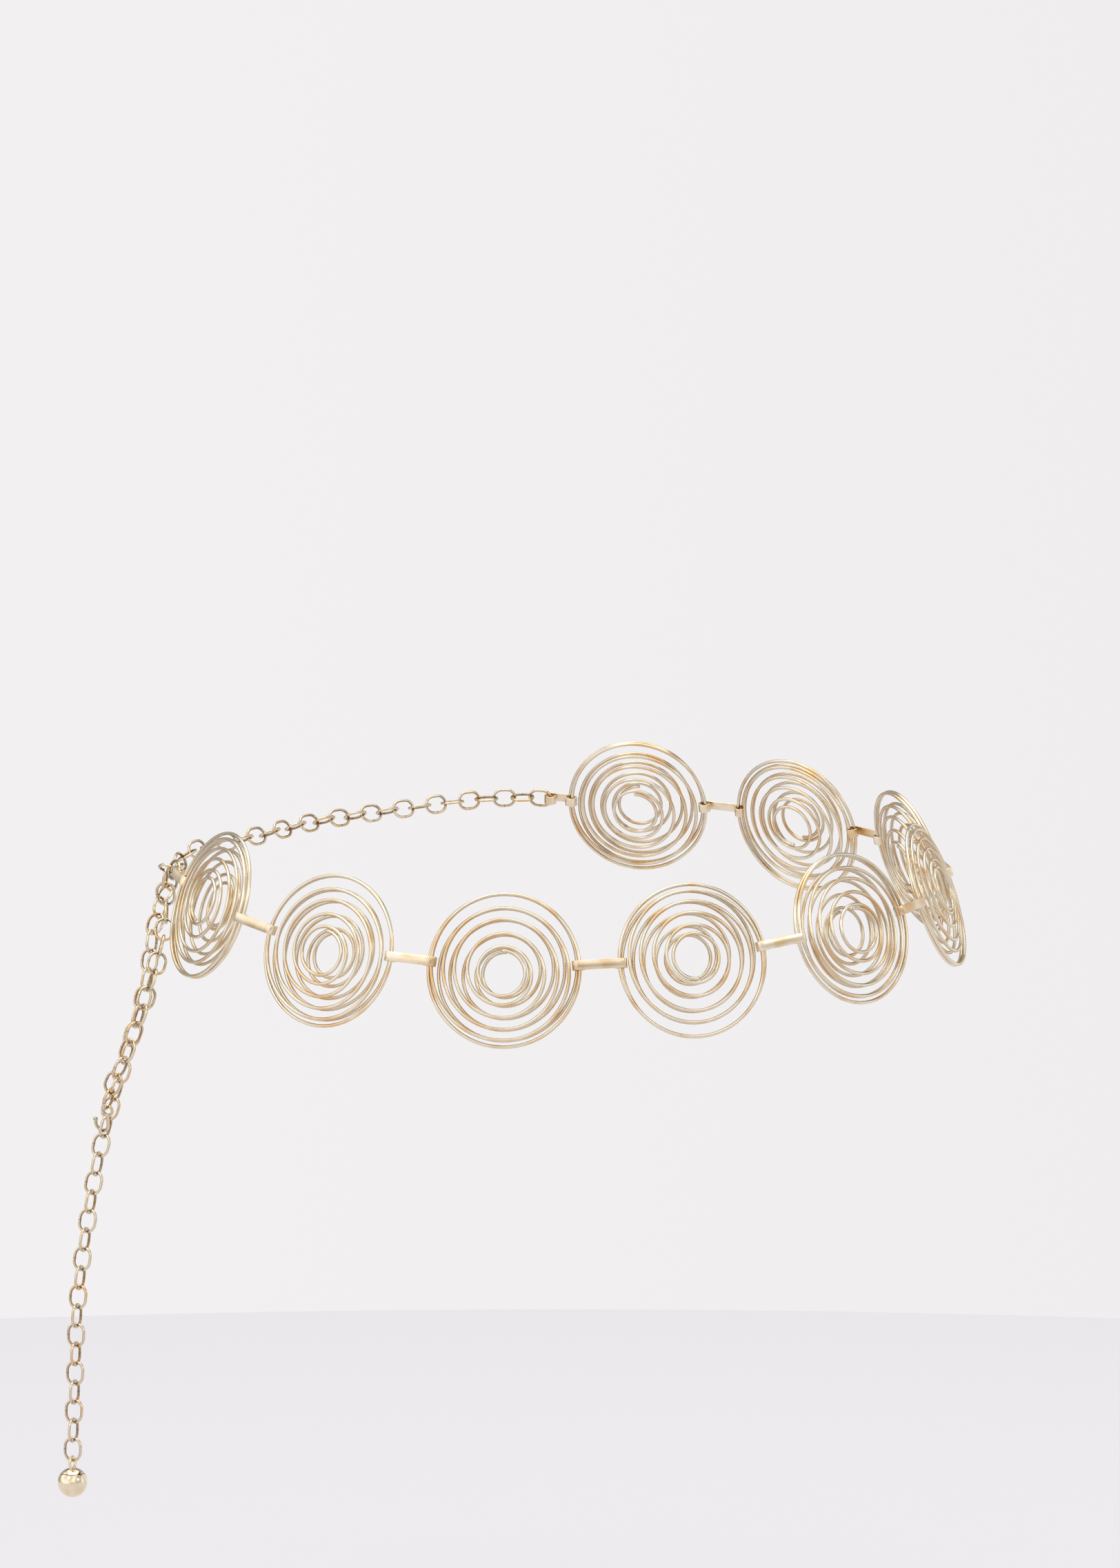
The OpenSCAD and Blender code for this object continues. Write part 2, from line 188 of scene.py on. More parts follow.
class WaistChainSizes(bpy.types.PropertyGroup):
    """Sizes of the loop and its pieces"""

    half_width: length("Loop half-width", 126.5, "Half-width of the loop through the disc centres")
    half_depth: length("Loop half-depth", 108, "Half-depth of the loop through the disc centres")
    loop_tilt: tilt("Loop tilt", 12, "How far the front of the loop tips down")
    side_lean: tilt("Side lean", 19, "Outward lean of a disc's foot at the sides of the loop")
    front_lean: tilt("Front lean", 7, "Outward lean of a disc's foot at the front")
    back_lean: tilt("Back lean", 24, "Outward lean of a disc's foot at the back")
    disc_pitch: length("Disc pitch", 60.8, "Distance along the loop from one disc to the next")
    row_shift: length("Row shift", 11.5, "Shift of the row of discs along the front, to the right")
    disc_d: length("Disc diameter", 50, "Outside diameter of a disc")
    disc_wire_d: length("Disc wire", 1.15, "Diameter of the wire that a disc is wound from")
    dome_h: length("Dome height", 3.3, "Height of the innermost turn over the disc's middle plane")
    strip_h: length("Strip height", 3.1, "Height of a strip")
    strip_t: length("Strip thickness", 0.45, "Thickness of the strip's metal")
    strip_gap: length("Strip clearance", 0.27, "Clearance between a curl and the wires that it holds")
    strip_swing: tilt("Strip swing", 8, "How far a strip can swing on its disc with the curls still clear")
    curl_sweep: tilt("Curl sweep", 290, "Sweep of a curl round its wires")
    end_strip: length("End strip", 7.5, "Length between the curls of the two end strips")
    chain_pitch: length("Chain pitch", 6.4, "Distance from one chain link to the next")
    link_w: length("Link width", 6.8, "Width of a chain link")
    chain_wire_d: length("Chain wire", 0.95, "Diameter of the chain's wire")
    chain_gap: length("Chain clearance", 0.24, "Clearance between two linked wires")
    chain_roll: tilt("Chain roll", 25, "Turn of the hanging links about their own line")
    free_end: length("Free end", 102, "Length of the chain's free end, from the hook down to the ball")
    hook_bend_r: length("Hook bend", 2.5, "Radius of the hook's bend, at the middle of its wire")
    hook_wire_d: length("Hook wire", 1.15, "Diameter of the hook's wire")
    hook_leg: length("Hook leg", 4, "Length of the hook's long leg")
    hook_short_leg: length("Hook tip", 1.2, "Length of the hook's short leg, up to its bead")
    hook_eye_r: length("Hook eye", 1.9, "Radius of the hook's eye, at the middle of its wire")
    hook_rise: tilt("Hook rise", 57, "Angle at which the hook rises from its link")
    hook_seat: length("Hook seat", 2.6, "How far the hook sits below the top joint of its link")
    eye_lean: tilt("Eye lean", 12, "Angle between the hook's line and the link in its eye")
    ball_d: length("Ball diameter", 10, "Diameter of the end ball")
    ball_loop_r: length("Ball loop", 2, "Radius of the ball's loop, at the middle of its wire")
    ball_loop_wire_d: length("Ball loop wire", 1, "Diameter of the wire of the ball's loop")


class WaistChainColours(bpy.types.PropertyGroup):
    """Colours of the plating and of the stage"""

    wire: colour("Wire plating", "#e8dcc6", "Plating of the discs' wire where it is bright")
    wire_warm: colour("Wire plating, warm", "#debb8c", "Plating of the discs' wire where it is thicker")
    strip: colour("Strip plating", "#f2e4cc", "Plating of the strips")
    chain: colour("Chain plating", "#dccdb4", "Plating of the chain links and the hook")
    ball: colour("Ball plating", "#f0e2c8", "Plating of the end ball")
    floor: colour("Floor", "#dcdbe0", "Floor under the chain")
    backdrop: colour("Backdrop", "#f3f1f2", "Wall behind, at its left")
    backdrop_right: colour("Backdrop, right", "#efedee", "Wall behind, at its right")


def unit(v):
    """Each vector divided by its own length."""
    return v / np.linalg.norm(v, axis=-1, keepdims=True)


def dot(a, b):
    """Products of matching vectors, kept as a last axis of one."""
    return (a * b).sum(axis=-1, keepdims=True)


def flat(v, normal):
    """The part of each vector that lies across its normal, made unit: v less its share along the normal."""
    return unit(v - dot(v, normal) * normal)


def place(points, origin, x, y, z):
    """Local points carried into the frame with that origin: origin + px x + py y + pz z."""
    return origin + points[..., 0:1] * x + points[..., 1:2] * y + points[..., 2:3] * z


def loop_point(s, degrees):
    """Points of the loop at an array of angles from the front: an ellipse, half-width by half-depth,
    whose height is its y times the tangent of the loop's tilt."""
    a = np.radians(degrees)
    y = -s.half_depth * np.cos(a)
    return np.stack([s.half_width * np.sin(a), y, y * math.tan(s.loop_tilt)], axis=-1)


def disc_frames(s):
    """Centre, outward normal, start direction and the two directions towards the neighbours, for every
    disc, and the angle of the next place on the loop. A disc's angle is looked up by length along the loop,
    and the normal is the loop's outward direction leant by side_lean times out.x squared, and front or back
    lean times the rest."""
    steps = np.arange(361)
    table = loop_point(s, steps)
    along = np.concatenate([[0], np.cumsum(np.linalg.norm(np.diff(table, axis=0), axis=1))])
    row = np.arange(-1, len(DISC_SAG) + 1)
    known = np.clip(row, 0, len(DISC_SAG) - 1)
    angle = np.interp((s.row_shift + s.disc_pitch * (row - ROW_MIDDLE)) % along[-1], along, steps)
    centre = loop_point(s, angle) + DISC_SAG[known, None] * UP
    line = unit(loop_point(s, angle + 1) - loop_point(s, angle - 1))
    out = unit(np.cross(line, UP))
    share = out[:, 0:1] ** 2
    lean = s.side_lean * share + np.where(out[:, 1:2] < 0, s.front_lean, s.back_lean) * (1 - share)
    normal = np.cos(lean) * out + np.sin(lean) * np.cross(out, line)
    ahead = flat(centre[2:] - centre[1:-1], normal[1:-1])
    behind = flat(centre[:-2] - centre[1:-1], normal[1:-1])
    normal = normal[1:-1]
    start = START_SIDE[:, None] * np.cross(normal, unit(ahead - behind))
    return {"centre": centre[1:-1], "normal": normal, "start": start, "ahead": ahead, "behind": behind,
            "next_angle": angle[-1]}


def rim_r(s):
    """Radius of the rim at the middle of its wire."""
    return (s.disc_d - s.disc_wire_d) / 2


def curl_sizes(s):
    """Radius of a curl, and the heights and radii that centre it between the rim and the turn beside it."""
    r, h = TURNS[:2, 0] * rim_r(s), TURNS[:2, 1] * s.dome_h
    near_h = h.mean()
    near_r = (r.sum() - (r[0] - r[1]) * math.sin(s.strip_swing)) / 2
    reach = math.hypot(rim_r(s) - near_r, near_h + h[0] / 2)
    return reach / 2 + s.disc_wire_d / 2 + s.strip_gap, r, near_h, h[0]


def curl_centres(s, discs, side):
    """Centre of each disc's curl on one side, 1 ahead or -1 behind: half-way between the rim and the near
    turn, whose radius follows the swing, the part of the strip's direction along the winding's start."""
    _, r, near_h, rim_h = curl_sizes(s)
    toward = discs["ahead"] if side > 0 else discs["behind"]
    near_r = (r.sum() + (r[0] - r[1]) * dot(toward, discs["start"])) / 2
    return (discs["centre"] + (rim_r(s) + near_r) / 2 * toward
            - side * START_SIDE[:, None] * (near_h - rim_h / 2) / 2 * discs["normal"])


def bar_reach(s):
    """How far a link's end bar lies beyond its joint: half the wire and the clearance."""
    return (s.chain_wire_d + s.chain_gap) / 2


def smooth(p):
    """A cubic through the points, which at each one runs parallel to the line between its neighbours."""
    pad = np.concatenate([p[:1], p, p[-1:]])
    a, b, c, d = (pad[k:k + len(p) - 1, None] for k in range(4))
    t = (np.arange(ROUTE_STEPS) / ROUTE_STEPS)[None, :, None]
    q = 0.5 * (2 * b + (c - a) * t + (2 * a - 5 * b + 4 * c - d) * t ** 2
               + (3 * b - a - 3 * c + d) * t ** 3)
    return np.concatenate([q.reshape(-1, 3), p[-1:]])


def joints(s, start, toward, route):
    """Joints of a chain: the first link lies straight on, and the rest stand at equal lengths along the
    smooth route, as many as the pitch gives."""
    q = smooth(np.concatenate([[start + s.chain_pitch * toward], route]))
    along = np.concatenate([[0], np.cumsum(np.linalg.norm(np.diff(q, axis=0), axis=1))])
    at = np.linspace(0, along[-1], int(round(along[-1] / s.chain_pitch)) + 1)
    spaced = np.stack([np.interp(at, along, q[:, axis]) for axis in range(3)], axis=-1)
    return np.concatenate([[start], spaced])


def link_axes(p):
    """Line of each link and its unrolled width: outward from the loop's middle on odd links, and across
    that on even ones, so that neighbours stand at right angles."""
    line = unit(np.diff(p, axis=0))
    middle = (p[1:] + p[:-1]) * np.array([1, 1, 0])
    outward = flat(middle, line)
    even = (np.arange(len(line)) % 2 == 0)[:, None]
    return line, np.where(even, np.cross(line, outward), outward)


def rolled(line, base, roll):
    """The width turned about the line by the roll: cos roll times base, and sin roll times line x base."""
    roll = np.asarray(roll)[..., None]
    return np.cos(roll) * base + np.sin(roll) * np.cross(line, base)


def roll_to(line, base, target):
    """Roll that turns the width towards the target, taken within a quarter turn either way."""
    a = math.atan2(np.cross(base, target) @ line, base @ target)
    return a - math.pi if a > math.pi / 2 else a + math.pi if a < -math.pi / 2 else a


def long_route(s, discs, start, short_start):
    """Points of the long chain: a lead back to the loop, equal steps along the loop, and the way down."""
    lead = start + BACK_LEAD[0] * discs["ahead"][-1] - BACK_LEAD[1] * discs["normal"][-1]
    back = np.linspace(discs["next_angle"], LONG_LEAVE, BACK_POINTS + 1)[1:]
    side = SIDE_ROUTE * [-1, 1, 1] + [-s.half_width, short_start[1], 0]
    return np.concatenate([[lead], loop_point(s, back), side])


def short_route(start, held):
    """Points of the short chain: its corner, and then the straight way to where its last link is held,
    bowed by 4 t (1 - t) of SHORT_BOW at share t of that way."""
    corner = start + SHORT_CORNER
    t = np.arange(1, BOW_POINTS + 1)[:, None] / (BOW_POINTS + 1)
    bowed = corner[-1] + t * (held - corner[-1]) + 4 * t * (1 - t) * SHORT_BOW
    return np.concatenate([corner, bowed, [held]])


def hook_frame(s, p, line, width):
    """Origin, direction, right and up of the hook. It sits in the last even link, counted from 0, that
    leaves the free end's length below it. Its origin lies hook_seat down the front side of that link, its
    direction is the front turned up by hook_rise, and its right stands square to the link's plane."""
    held = 2 * math.floor((len(line) - 1 - s.free_end / s.chain_pitch) / 2)
    front = -math.copysign(1, width[held, 1]) * width[held]
    across = np.cross(front, line[held])
    right = math.copysign(1, across[0]) * across
    direction = math.cos(s.hook_rise) * front - math.sin(s.hook_rise) * line[held]
    origin = p[held] + s.hook_seat * line[held] + (s.link_w - s.chain_wire_d) / 2 * front
    return origin, direction, right, np.cross(direction, right)


def chain_frames(s, discs):
    """Joints, lines and widths of both chains, and the frames of the hook and of the ball's loop. The short
    chain's last link lies in the hook's eye and leans from the hook's line by eye_lean. The links' roll
    goes evenly from the first one's to the last one's on the short chain, and on the long one to
    chain_roll over ROLL_LINKS links."""
    long_dir, short_dir = discs["ahead"][-1], discs["behind"][0]
    inset = s.end_strip + bar_reach(s) - CURL_INSET
    long_start = curl_centres(s, discs, 1)[-1] + inset * long_dir
    short_start = curl_centres(s, discs, -1)[0] + inset * short_dir
    long_p = joints(s, long_start, long_dir, long_route(s, discs, long_start, short_start))
    line, base = link_axes(long_p)
    first = roll_to(line[0], base[0], np.cross(long_dir, discs["normal"][-1]))
    part = np.minimum(1, np.arange(len(line)) / ROLL_LINKS)
    width = rolled(line, base, first + (s.chain_roll - first) * part)
    hook = hook_frame(s, long_p, line, width)
    origin, direction, right, _ = hook
    eye_end = s.hook_leg + 2 * s.hook_eye_r - bar_reach(s)
    short_end = origin + s.hook_bend_r * right + eye_end * direction
    held = short_end + s.chain_pitch * (math.cos(s.eye_lean) * direction + math.sin(s.eye_lean) * right)
    short_p = np.concatenate([joints(s, short_start, short_dir, short_route(short_start, held)),
                              [short_end]])
    s_line, s_base = link_axes(short_p)
    s_first = roll_to(s_line[0], s_base[0], np.cross(short_dir, discs["normal"][0]))
    s_last = roll_to(s_line[-1], s_base[-1], np.cross(direction, right))
    s_roll = s_first + (s_last - s_first) * np.arange(len(s_line)) / (len(s_line) - 1)
    level = unit(width[-1] * np.array([1, 1, 0]))
    ball = long_p[-1] - (s.ball_loop_r - bar_reach(s)) * UP
    return {"long": (long_p, line, width), "short": (short_p, s_line, rolled(s_line, s_base, s_roll)),
            "hook": hook, "ball": (ball, np.cross(UP, level), UP, level)}


def ring(n, r=1.0):
    """n points round a circle: (r cos a, r sin a)."""
    a = np.arange(n) * 2 * math.pi / n
    return r * np.stack([np.cos(a), np.sin(a)], axis=-1)


def hoop(r, wire_r, steps=48):
    """A closed ring of wire round the origin, its middle at (r cos a, r sin a, 0)."""
    return tube(np.pad(ring(steps, r), ((0, 0), (0, 1))), wire_r, UP, closed=True)


def grid_faces(rows, columns, closed):
    """Quads of a grid whose columns close on themselves, and its rows too where closed. Corner order turns
    outwards for a profile that runs anticlockwise as seen against the path."""
    i = np.arange(rows if closed else rows - 1)[:, None]
    j = np.arange(columns)[None, :]
    i2, j2 = (i + 1) % rows, (j + 1) % columns
    corners = [i * columns + j, i * columns + j2, i2 * columns + j2, i2 * columns + j]
    return np.stack([np.broadcast_to(c, (i.size, columns)) for c in corners], axis=-1).reshape(-1, 4)


def grid_uv(rows, columns, closed, along):
    """Corner UV of the same quads: u is the length along the path in metres, v the share round it."""
    i = np.arange(rows if closed else rows - 1)[:, None]
    j = np.arange(columns)[None, :]
    u = np.stack([np.broadcast_to(along[k], (i.size, columns)) for k in (i, i, i + 1, i + 1)], axis=-1)
    v = np.stack([np.broadcast_to(k, (i.size, columns)) for k in (j, j + 1, j + 1, j)], axis=-1) / columns
    return np.stack([u, v], axis=-1).reshape(-1, 2)


def sweep(path, profile, side, up, closed=False, scale=None):
    """A profile carried along a path: point j of ring i is path i + scale i (profile j across the side
    and up directions). Open ends are closed by a fan round the end ring's own middle."""
    scale = np.ones(len(path)) if scale is None else scale
    rings = (path[:, None] + scale[:, None, None] * (profile[None, :, 0:1] * side[:, None]
                                                     + profile[None, :, 1:2] * up[:, None]))
    m, n = rings.shape[:2]
    hops = np.linalg.norm(np.diff(path, axis=0, append=path[:1]), axis=1)
    along = np.concatenate([[0], np.cumsum(hops)])
    verts, quads, uv = rings.reshape(-1, 3), grid_faces(m, n, closed), grid_uv(m, n, closed, along)
    tris = np.zeros((0, 3), int)
    if not closed:
        j = np.arange(n)
        j2 = (j + 1) % n
        verts = np.concatenate([verts, path[:1], path[-1:]])
        last = (m - 1) * n
        tris = np.concatenate([np.stack([np.full(n, m * n), j2, j], axis=-1),
                               np.stack([np.full(n, m * n + 1), last + j, last + j2], axis=-1)])
        ends = [np.full((3 * n, 2), (u, 0.5)) for u in (along[0], along[m - 1])]
        uv = np.concatenate([uv] + ends)
    return verts, quads, tris, uv


def tube(path, r, axis, closed=False, sides=12):
    """A round wire along a path that never runs along axis: the ring at each point stands square to the
    path. Open ends are rounded, each by rings at r sin a beyond the end, of radius r cos a, for every angle
    a of END_RINGS."""
    if closed:
        tangent = unit(np.roll(path, -1, axis=0) - np.roll(path, 1, axis=0))
        scale = None
    else:
        tangent = unit(np.gradient(path, axis=0))
        a = END_RINGS
        head = path[0] - r * np.sin(a)[:, None] * tangent[0]
        tail = path[-1] + r * np.sin(a[::-1])[:, None] * tangent[-1]
        path = np.concatenate([head, path, tail])
        scale = np.concatenate([np.cos(a), np.ones(len(tangent)), np.cos(a[::-1])])
        tangent = np.concatenate([np.repeat(tangent[:1], len(a), axis=0), tangent,
                                  np.repeat(tangent[-1:], len(a), axis=0)])
    side = unit(np.cross(np.broadcast_to(axis, tangent.shape), tangent))
    return sweep(path, ring(sides, r), side, np.cross(tangent, side), closed, scale)


def merged(parts):
    """Several swept parts as one, each one's corners counted on from the last."""
    verts, quads, tris, quad_uv, tri_uv, count = [], [], [], [], [], 0
    for v, q, t, uv in parts:
        verts.append(v)
        quads.append(q + count)
        tris.append(t + count)
        quad_uv.append(uv[:4 * len(q)])
        tri_uv.append(uv[4 * len(q):])
        count += len(v)
    return (np.concatenate(verts), np.concatenate(quads), np.concatenate(tris),
            np.concatenate(quad_uv + tri_uv))


def wire_path(s, steps=30):
    """Middle of a disc's wire in the disc's own frame. Half turn k runs round half a circle from the joint
    before it to joint k: with a from 0 to pi, x is half the radii's difference plus half their sum times
    cos a, y is the circle's radius times sin a, and the height goes over from one joint's to the next
    with (1 - cos a) / 2. Every other half turn lies on the other side, and the second family is the
    first turned over about x."""
    r, h = TURNS[:, 0] * rim_r(s), TURNS[:, 1] * s.dome_h
    r0, h0 = np.concatenate([r[:1], r[:-1]])[:, None], np.concatenate([[0], h[:-1]])[:, None]
    r1, h1 = r[:, None], h[:, None]
    a = (np.arange(steps) * math.pi / steps)[None, :]
    turn = np.where(np.arange(len(r)) % 2 == 0, -1, 1)[:, None]
    reach = np.hypot(r0 + r1, h1 - h0) / 2
    x = turn * ((r0 - r1) / 2 + (r0 + r1) / 2 * np.cos(a))
    y = turn * reach * np.sin(a)
    z = (h0 + h1) / 2 - (h1 - h0) / 2 * np.cos(a)
    end = np.array([[turn[-1, 0] * -r[-1], 0, h[-1]]])
    one = np.concatenate([np.stack([x, y, z], axis=-1).reshape(-1, 3), end])
    other = one * np.array([1, -1, -1])
    return np.concatenate([other[::-1], one[1:]])


def strip_parts(s, a, b, out, curl_steps=40, bar_steps=10, corner_steps=12):
    """A strip from curl centre a to curl centre b. Its middle line turns round a from the curl's free edge,
    runs straight at the curl's radius outside the centres, and turns round b likewise. The profile is a
    rectangle, strip_t by strip_h, whose corners are quarters of a small circle. Each point of the circle
    is shifted to its own corner, and the tiny term gives a point on an axis to the corner beside it."""
    radius = curl_sizes(s)[0] + s.strip_t / 2
    line = unit(b - a)
    inward = -flat(out, line)
    span = np.linalg.norm(b - a)
    turn = np.linspace(math.radians(270) - s.curl_sweep, math.radians(270), curl_steps)
    arc = radius * np.stack([np.cos(turn), np.sin(turn)], axis=-1)
    straight = np.stack([np.linspace(0, span, bar_steps)[1:-1], np.full(bar_steps - 2, -radius)], axis=-1)
    middle = np.concatenate([arc, straight, (arc * [-1, 1] + [span, 0])[::-1]])
    path = np.concatenate([middle, np.zeros((len(middle), 1))], axis=1)
    tangent = unit(np.gradient(path, axis=0))
    across = np.cross(tangent, UP)
    corner = ring(corner_steps, STRIP_EDGE_R)
    half = np.array([s.strip_t, s.strip_h]) / 2
    shift = np.sign(np.round(corner, 9) + 1e-12) * (half - STRIP_EDGE_R)
    parts = sweep(path, corner + shift, across, np.broadcast_to(UP, across.shape))
    axes = line, inward, np.cross(line, inward)
    return (place(parts[0], a, *axes), *parts[1:])


def link_sizes(s, pitch):
    """Radius of a link's ends and length of its straight sides, both at the middle of its wire."""
    return (s.link_w - s.chain_wire_d) / 2, pitch + 2 * bar_reach(s) + s.chain_wire_d - s.link_w


def link_parts(s, p, line, width, end_steps=17):
    """Oval links between joints p: one link's closed tube, two half circles joined by straight sides,
    carried into each link's frame."""
    r, straight = link_sizes(s, np.linalg.norm(np.diff(p, axis=0), axis=1).max())
    a = np.linspace(-math.pi / 2, math.pi / 2, end_steps)
    right = np.stack([straight / 2 + r * np.cos(a), r * np.sin(a), 0 * a], axis=-1)
    path = np.concatenate([right, right * [-1, -1, 1]])
    one = tube(path, s.chain_wire_d / 2, UP, closed=True)
    parts = []
    for i in range(len(line)):
        axes = line[i], width[i], np.cross(line[i], width[i])
        parts.append((place(one[0], (p[i] + p[i + 1]) / 2, *axes), *one[1:]))
    return merged(parts)


def ball_surface(r, rows=48, columns=64):
    """A sphere as a grid of latitude and longitude, closed at both poles: ring i is r cos b wide at
    height r sin b."""
    b = np.linspace(-math.pi / 2, math.pi / 2, rows + 2)[1:-1]
    height = np.stack([0 * b, 0 * b, r * np.sin(b)], axis=-1)
    ones = np.ones((len(b), 1))
    parts = sweep(height, ring(columns), ones * [1, 0, 0], ones * [0, 1, 0], scale=r * np.cos(b))
    parts[0][-2], parts[0][-1] = [0, 0, -r], [0, 0, r]
    return parts


def hook_parts(s, leg_steps=8, bend_steps=33):
    """The hook in its own frame. Its wire runs back along the long leg at height r, round the bend at
    (r cos a, r sin a) and along the short leg at height -r to a bead, and its eye is a ring of thinner wire
    at the long leg's end, with its middle in line with that leg."""
    r = s.hook_bend_r
    a = np.linspace(math.pi / 2, 3 * math.pi / 2, bend_steps)
    bend = np.stack([r * np.cos(a), r * np.sin(a), 0 * a], axis=-1)
    x = np.linspace(s.hook_leg, 0, leg_steps)[:-1]
    leg = np.stack([x, 0 * x + r, 0 * x], axis=-1)
    tip = np.array([[s.hook_short_leg / 2, -r, 0], [s.hook_short_leg, -r, 0]])
    wire = tube(np.concatenate([leg, bend, tip]), s.hook_wire_d / 2, UP)
    bead = ball_surface(BEAD_SHARE * s.hook_wire_d, 16, 24)
    eye = hoop(s.hook_eye_r, EYE_WIRE_SHARE * s.hook_wire_d)
    return merged([wire, (bead[0] + tip[-1], *bead[1:]),
                   (eye[0] + [s.hook_leg + s.hook_eye_r, r, 0], *eye[1:])])


def ball_parts(s):
    """The ball in the frame of its loop: the loop is a ring round the origin, and the ball hangs at its
    foot, with its top LOOP_SINK above the lowest point of the ring's middle line."""
    drop = s.ball_d / 2 + s.ball_loop_r - LOOP_SINK
    ball = ball_surface(s.ball_d / 2)
    turned = ball[0][:, [0, 2, 1]] * [1, 1, -1] + [0, -drop, 0]
    return merged([hoop(s.ball_loop_r, s.ball_loop_wire_d / 2), (turned, *ball[1:])])


def floor_parts(columns=128):
    """A round board: rings of (r cos a, r sin a, height) for each corner of its edge, and a flat top."""
    circle = ring(columns)
    rings = [np.column_stack([r * circle, np.full(columns, height)]) for r, height in FLOOR_EDGE]
    sides = grid_faces(len(FLOOR_EDGE), columns, False)[:, ::-1]
    return np.concatenate(rings).tolist(), sides.tolist() + [list(range(columns))]


def add_piece(name, parts, node, material):
    """The swept parts as a mesh object that stands for a node: corners and faces by from_pydata, and the
    corner UV by foreach_set."""
    verts, quads, tris, uv = parts
    mesh = bpy.data.meshes.new(name)
    mesh.from_pydata(verts.tolist(), [], quads.tolist() + tris.tolist())
    mesh.uv_layers.new(name="wire").data.foreach_set("uv", uv.astype(np.float32).ravel())
    mesh.polygons.foreach_set("use_smooth", np.ones(len(mesh.polygons), bool))
    mesh.materials.append(material)
    mesh.update()
    piece = bpy.data.objects.new(name, mesh)
    bpy.context.scene.collection.objects.link(piece)
    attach(piece, "root")
    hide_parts(node)


def node(tree, kind, links=None, **settings):
    """Adds a node. Settings are its own attributes, and links give each input a value or the output
    socket that feeds it."""
    made = tree.nodes.new(kind)
    for key, value in settings.items():
        setattr(made, key, value)
    for key, value in (links or {}).items():
        if isinstance(value, bpy.types.NodeSocket):
            tree.links.new(value, made.inputs[key])
        else:
            made.inputs[key].default_value = value
    return made


def new_material(name):
    """An empty node material with its output."""
    material = bpy.data.materials.new(name)
    material.use_nodes = True
    tree = material.node_tree
    tree.nodes.clear()
    return material, tree, node(tree, "ShaderNodeOutputMaterial")


def plated_brass(name, bright, warm, roughness, grain, inner_shade=0.0, seams=()):
    """Polished brass plated pale gold. Drawing, rolling or turning leaves fine lines, as many as the grain
    gives. Plating is thicker and warmer in patches. The inner side of a turn or link, where v is 0 or 1, is
    darkened by the given share as painted shade. A seam is a thin dark line across the piece, given by how
    far along it lies and by half its width."""
    material, tree, output = new_material(name)
    uv = node(tree, "ShaderNodeUVMap", uv_map="wire")
    lines = node(tree, "ShaderNodeMapping", {"Vector": uv.outputs["UV"], "Scale": (*grain, 1)})
    drawn = node(tree, "ShaderNodeTexNoise", {"Vector": lines.outputs["Vector"], "Scale": 1.0, "Detail": 3.0})
    where = node(tree, "ShaderNodeTexCoord")
    patch = node(tree, "ShaderNodeTexNoise", {"Vector": where.outputs["Object"], "Scale": PATCHES_IN_METRE,
                                              "Detail": 2.0})
    share = node(tree, "ShaderNodeMapRange", {"Value": patch.outputs["Fac"], "From Min": PATCH_RANGE[0],
                                              "From Max": PATCH_RANGE[1]})
    tone = node(tree, "ShaderNodeMix", {0: share.outputs["Result"], 6: (*bright, 1), 7: (*warm, 1)},
                data_type="RGBA").outputs[2]
    spot = node(tree, "ShaderNodeSeparateXYZ", {"Vector": uv.outputs["UV"]})
    # Painted shade: the inner side of each turn or link is darkened towards the dark brown tone
    if inner_shade:
        turned = node(tree, "ShaderNodeMath", {0: spot.outputs["Y"], 1: 0.5}, operation="SUBTRACT")
        inner = node(tree, "ShaderNodeMath", {0: turned.outputs["Value"]}, operation="ABSOLUTE")
        painted_shade = node(tree, "ShaderNodeMapRange", {"Value": inner.outputs["Value"],
                                                 "From Min": INNER_SHADE_RANGE[0], "From Max": INNER_SHADE_RANGE[1],
                                                 "To Max": inner_shade}, interpolation_type="SMOOTHSTEP")
        tone = node(tree, "ShaderNodeMix", {0: painted_shade.outputs["Result"], 6: tone, 7: (*SHADE_AND_SEAM_TONE, 1)},
                    data_type="RGBA").outputs[2]
    for at, half_width in seams:
        far = node(tree, "ShaderNodeMath", {0: spot.outputs["X"], 1: at}, operation="SUBTRACT")
        off = node(tree, "ShaderNodeMath", {0: far.outputs["Value"]}, operation="ABSOLUTE")
        line = node(tree, "ShaderNodeMapRange", {"Value": off.outputs["Value"], "From Min": half_width / 2,
                                                 "From Max": half_width, "To Min": 1.0, "To Max": 0.0})
        tone = node(tree, "ShaderNodeMix", {0: line.outputs["Result"], 6: tone, 7: (*SHADE_AND_SEAM_TONE, 1)},
                    data_type="RGBA").outputs[2]
    rough = node(tree, "ShaderNodeMapRange", {"Value": drawn.outputs["Fac"], "From Min": LINE_RANGE[0],
                                              "From Max": LINE_RANGE[1],
                                              "To Min": roughness * ROUGHNESS_SHARES[0],
                                              "To Max": roughness * ROUGHNESS_SHARES[1]})
    bump = node(tree, "ShaderNodeBump", {"Height": drawn.outputs["Fac"], "Strength": RELIEF_STRENGTH,
                                         "Distance": RELIEF_DEPTH})
    shader = node(tree, "ShaderNodeBsdfPrincipled", {
        "Base Color": tone, "Metallic": 1.0, "Roughness": rough.outputs["Result"],
        "Normal": bump.outputs["Normal"]})
    tree.links.new(shader.outputs["BSDF"], output.inputs["Surface"])
    return material


def sizes():
    """The size settings of the scene."""
    return bpy.context.scene.waist_chain_sizes


def colours():
    """The colour settings of the scene."""
    return bpy.context.scene.waist_chain_colours


